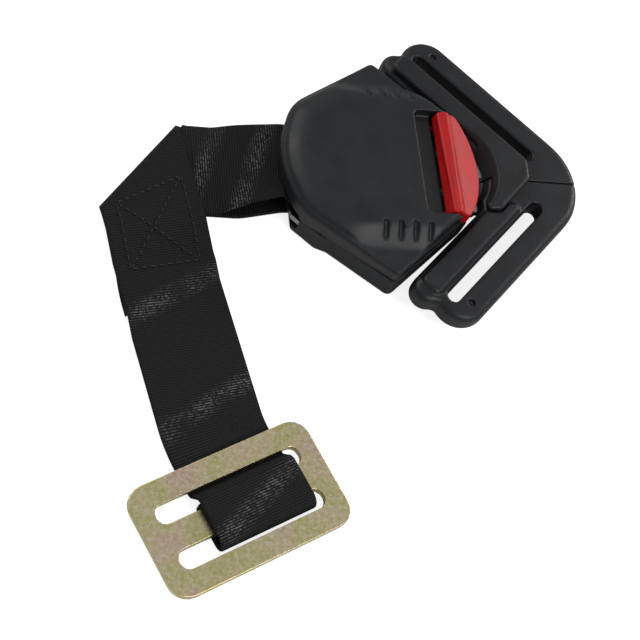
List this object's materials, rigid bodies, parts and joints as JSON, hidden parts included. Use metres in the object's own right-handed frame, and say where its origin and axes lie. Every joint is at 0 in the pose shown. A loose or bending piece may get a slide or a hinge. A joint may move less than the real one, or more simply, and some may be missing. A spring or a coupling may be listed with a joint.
{
  "type": "child seat belt buckle",
  "caption": "Child seat harness buckle with two tongues, red release button, folded webbing strap and a steel three-bar slide",
  "frame": {"origin": "on the outer face of the rear cover, under the latch, on the buckle's centre line", "axes": "+X out of the mouth along the tongues, +Y to the upper tongue's loop, +Z out of the front cover"},
  "size_m": [0.1753, 0.2091, 0.0238],
  "materials": {
    "housing": "fine moulded grain",
    "tongue_moulding": "fine moulded grain",
    "button_red": "smooth satin",
    "webbing": "woven polyester",
    "zinc_gold": "yellow zinc passivate",
    "steel": "bright zinc",
    "guide_plastic": "natural acetal",
    "spring_steel": "drawn wire"
  },
  "bodies": {
    "buckle_body": {"front_cover": "housing", "rear_cover": "housing", "base_frame": "steel", "latch_guide": "guide_plastic", "latch_spring": "spring_steel", "ejector_spring": "spring_steel", "button_spring_left": "spring_steel", "button_spring_right": "spring_steel", "strap_webbing": "webbing", "anchor_slide": "zinc_gold", "cover_screw_1": "steel", "cover_screw_2": "steel", "cover_screw_3": "steel", "cover_screw_4": "steel", "guide_rivet_1": "steel", "guide_rivet_2": "steel", "guide_rivet_3": "steel", "guide_rivet_4": "steel"},
    "button": {"release_button": "button_red"},
    "latch": {"latch_plate": "steel"},
    "ejector_slide": {"ejector": "guide_plastic"},
    "left_tongue": {"tongue_grip_left": "tongue_moulding", "tongue_blade_left": "steel"},
    "right_tongue": {"tongue_grip_right": "tongue_moulding", "tongue_blade_right": "steel"}
  },
  "joints": [
    {"name": "button_press", "type": "slide", "parent": "buckle_body", "child": "button", "axis": [-1, 0, 0], "range_m": [0, 0.006], "stiffness_N_per_m": 400, "springref_m": -0.004, "deforming": ["button_spring_left", "button_spring_right"]},
    {"name": "latch_lift", "type": "slide", "parent": "buckle_body", "child": "latch", "axis": [0, 0, 1], "range_m": [0, 0.0045], "deforming": ["latch_spring"]},
    {"name": "left_tongue_push", "type": "slide", "parent": "buckle_body", "child": "left_tongue", "axis": [-1, 0, 0], "range_m": [0, 0.0008], "stiffness_N_per_m": 800, "springref_m": -0.003},
    {"name": "right_tongue_push", "type": "slide", "parent": "buckle_body", "child": "right_tongue", "axis": [-1, 0, 0], "range_m": [0, 0.0008]},
    {"name": "ejector_push", "type": "slide", "parent": "buckle_body", "child": "ejector_slide", "axis": [-1, 0, 0], "range_m": [0, 0.0008], "deforming": ["ejector_spring"]}
  ],
  "couplings": [
    {"joint": "latch_lift", "follows": "button_press", "ratio": 0.75},
    {"joint": "right_tongue_push", "follows": "left_tongue_push", "ratio": 1},
    {"joint": "ejector_push", "follows": "left_tongue_push", "ratio": 1}
  ]
}
